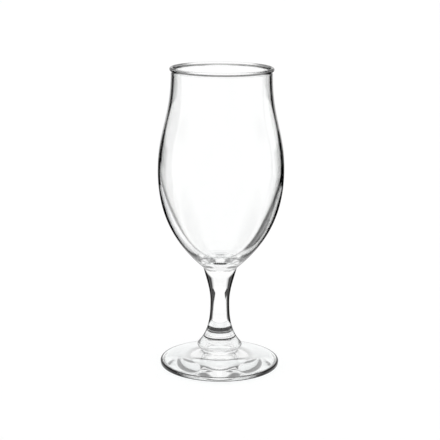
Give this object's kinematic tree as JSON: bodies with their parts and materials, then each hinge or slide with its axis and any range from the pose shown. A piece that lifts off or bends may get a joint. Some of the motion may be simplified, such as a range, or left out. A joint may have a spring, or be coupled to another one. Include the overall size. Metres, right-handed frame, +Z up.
{
  "type": "beer glass",
  "caption": "Clear stemmed tulip beer glass: a belly that narrows to a beaded rim, a solid waisted stem ending in a bell, and a round foot that it stands on.",
  "frame": {"origin": "middle of the foot's resting face, on the surface that the glass stands on", "axes": "+Z up along the axis that the glass is turned about; X and Y are level and alike"},
  "size_m": [0.077, 0.077, 0.186],
  "materials": {
    "blown_glass": "clear, fire-polished, smooth",
    "pressed_glass": "clear, pressed, smooth with faint ripple"
  },
  "bodies": {
    "root": {"bowl": "blown_glass", "stem": "pressed_glass", "foot": "pressed_glass"}
  },
  "joints": []
}
